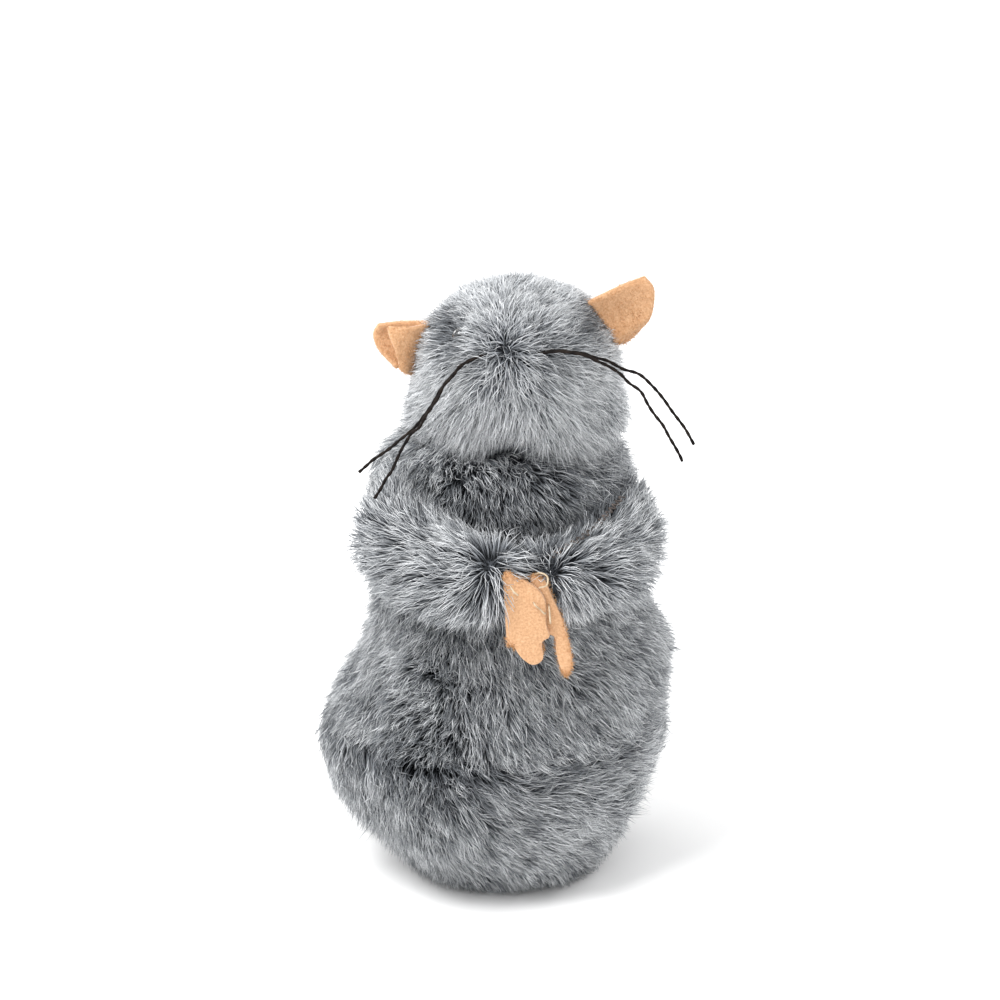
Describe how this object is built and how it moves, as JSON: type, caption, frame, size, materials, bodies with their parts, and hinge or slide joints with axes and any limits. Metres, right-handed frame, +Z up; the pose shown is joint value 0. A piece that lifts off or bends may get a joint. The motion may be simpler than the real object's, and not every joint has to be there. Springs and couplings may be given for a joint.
{
  "type": "clockwork mouse",
  "caption": "Wind-up dancing mouse: long-pile plush body, felt ears and clasped paws, thread whiskers, spring motor with a key in its back.",
  "frame": {"origin": "under the pivot foot, on the surface the mouse stands on", "axes": "+Z up, the mouse faces -Y, its own left side is at +X, every motor shaft lies along Y"},
  "size_m": [0.0631, 0.0878, 0.1185],
  "materials": {
    "plush": "long-pile plush, dark roots and pale tips",
    "stuffing": "loose fibre filling",
    "felt": "wool felt",
    "sewing_thread": "cotton thread",
    "waxed_thread": "waxed twisted thread",
    "eye_glass_black": "polished bead",
    "base_plastic": "moulded, satin gloss",
    "glide_plastic": "moulded",
    "steel": "stamped and turned",
    "spring_steel": "blued strip",
    "brass": "stamped",
    "nickel": "nickel plated, slightly worn",
    "cover_plastic": "thin moulded cover",
    "rubber": "matt"
  },
  "bodies": {
    "mouse": {"body_plush_upper": "plush", "body_plush_lower": "plush", "head_plush": "plush", "arm_plush_left": "plush", "arm_plush_right": "plush", "body_stuffing": "stuffing", "head_stuffing": "stuffing", "arm_stuffing_left": "stuffing", "arm_stuffing_right": "stuffing", "ear_left": "felt", "ear_right": "felt", "paw_left": "felt", "paw_right": "felt", "paw_stitch": "sewing_thread", "whisker_left_upper": "waxed_thread", "whisker_left_lower": "waxed_thread", "whisker_right_upper": "waxed_thread", "whisker_right_lower": "waxed_thread", "eye_left": "eye_glass_black", "eye_right": "eye_glass_black", "base_disc": "base_plastic", "pivot_foot": "glide_plastic", "glide_front_left": "glide_plastic", "glide_front_right": "glide_plastic", "glide_rear_left": "glide_plastic", "glide_rear_right": "glide_plastic", "base_screw_1": "steel", "base_screw_2": "steel", "base_screw_3": "steel", "plate_front": "steel", "plate_back": "steel", "pillar_1": "steel", "pillar_2": "steel", "pillar_3": "steel", "pillar_4": "steel", "mainspring": "spring_steel", "key_eyelet": "brass", "motor_cover": "cover_plastic"},
    "winding_key": {"key_bow": "nickel", "key_stem": "nickel", "winding_arbor": "steel", "ratchet_wheel": "steel"},
    "great_wheel_body": {"great_wheel": "brass", "click_rivet": "steel"},
    "click_body": {"click": "steel"},
    "second_wheel_body": {"second_arbor": "steel", "second_wheel": "brass"},
    "drive_wheel_body": {"drive_arbor": "steel", "drive_hub": "base_plastic", "drive_tyre": "rubber"},
    "governor_body": {"fly_arbor": "steel", "governor_fly": "brass"}
  },
  "joints": [
    {"name": "key_turn", "type": "hinge", "parent": "mouse", "child": "winding_key", "pos_m": [0, 0, 0.031], "axis": [0, -1, 0], "continuous": true},
    {"name": "great_wheel_turn", "type": "hinge", "parent": "mouse", "child": "great_wheel_body", "pos_m": [0, 0, 0.031], "axis": [0, -1, 0], "continuous": true},
    {"name": "click_lift", "type": "hinge", "parent": "great_wheel_body", "child": "click_body", "pos_m": [0, 0, 0.0388], "axis": [0, -1, 0], "range_deg": [0, 12], "stiffness_Nm_per_rad": 0.00005, "springref_deg": -17.19},
    {"name": "second_wheel_turn", "type": "hinge", "parent": "mouse", "child": "second_wheel_body", "pos_m": [0.007, 0, 0.01775], "axis": [0, -1, 0], "continuous": true},
    {"name": "drive_wheel_turn", "type": "hinge", "parent": "mouse", "child": "drive_wheel_body", "pos_m": [0, 0, 0.008], "axis": [0, -1, 0], "continuous": true},
    {"name": "governor_turn", "type": "hinge", "parent": "mouse", "child": "governor_body", "pos_m": [-0.0044, 0, 0.01791], "axis": [0, -1, 0], "continuous": true}
  ],
  "couplings": [
    {"joint": "great_wheel_turn", "follows": "key_turn", "ratio": 1},
    {"joint": "second_wheel_turn", "follows": "key_turn", "ratio": -4},
    {"joint": "drive_wheel_turn", "follows": "key_turn", "ratio": 12},
    {"joint": "governor_turn", "follows": "key_turn", "ratio": 15}
  ]
}
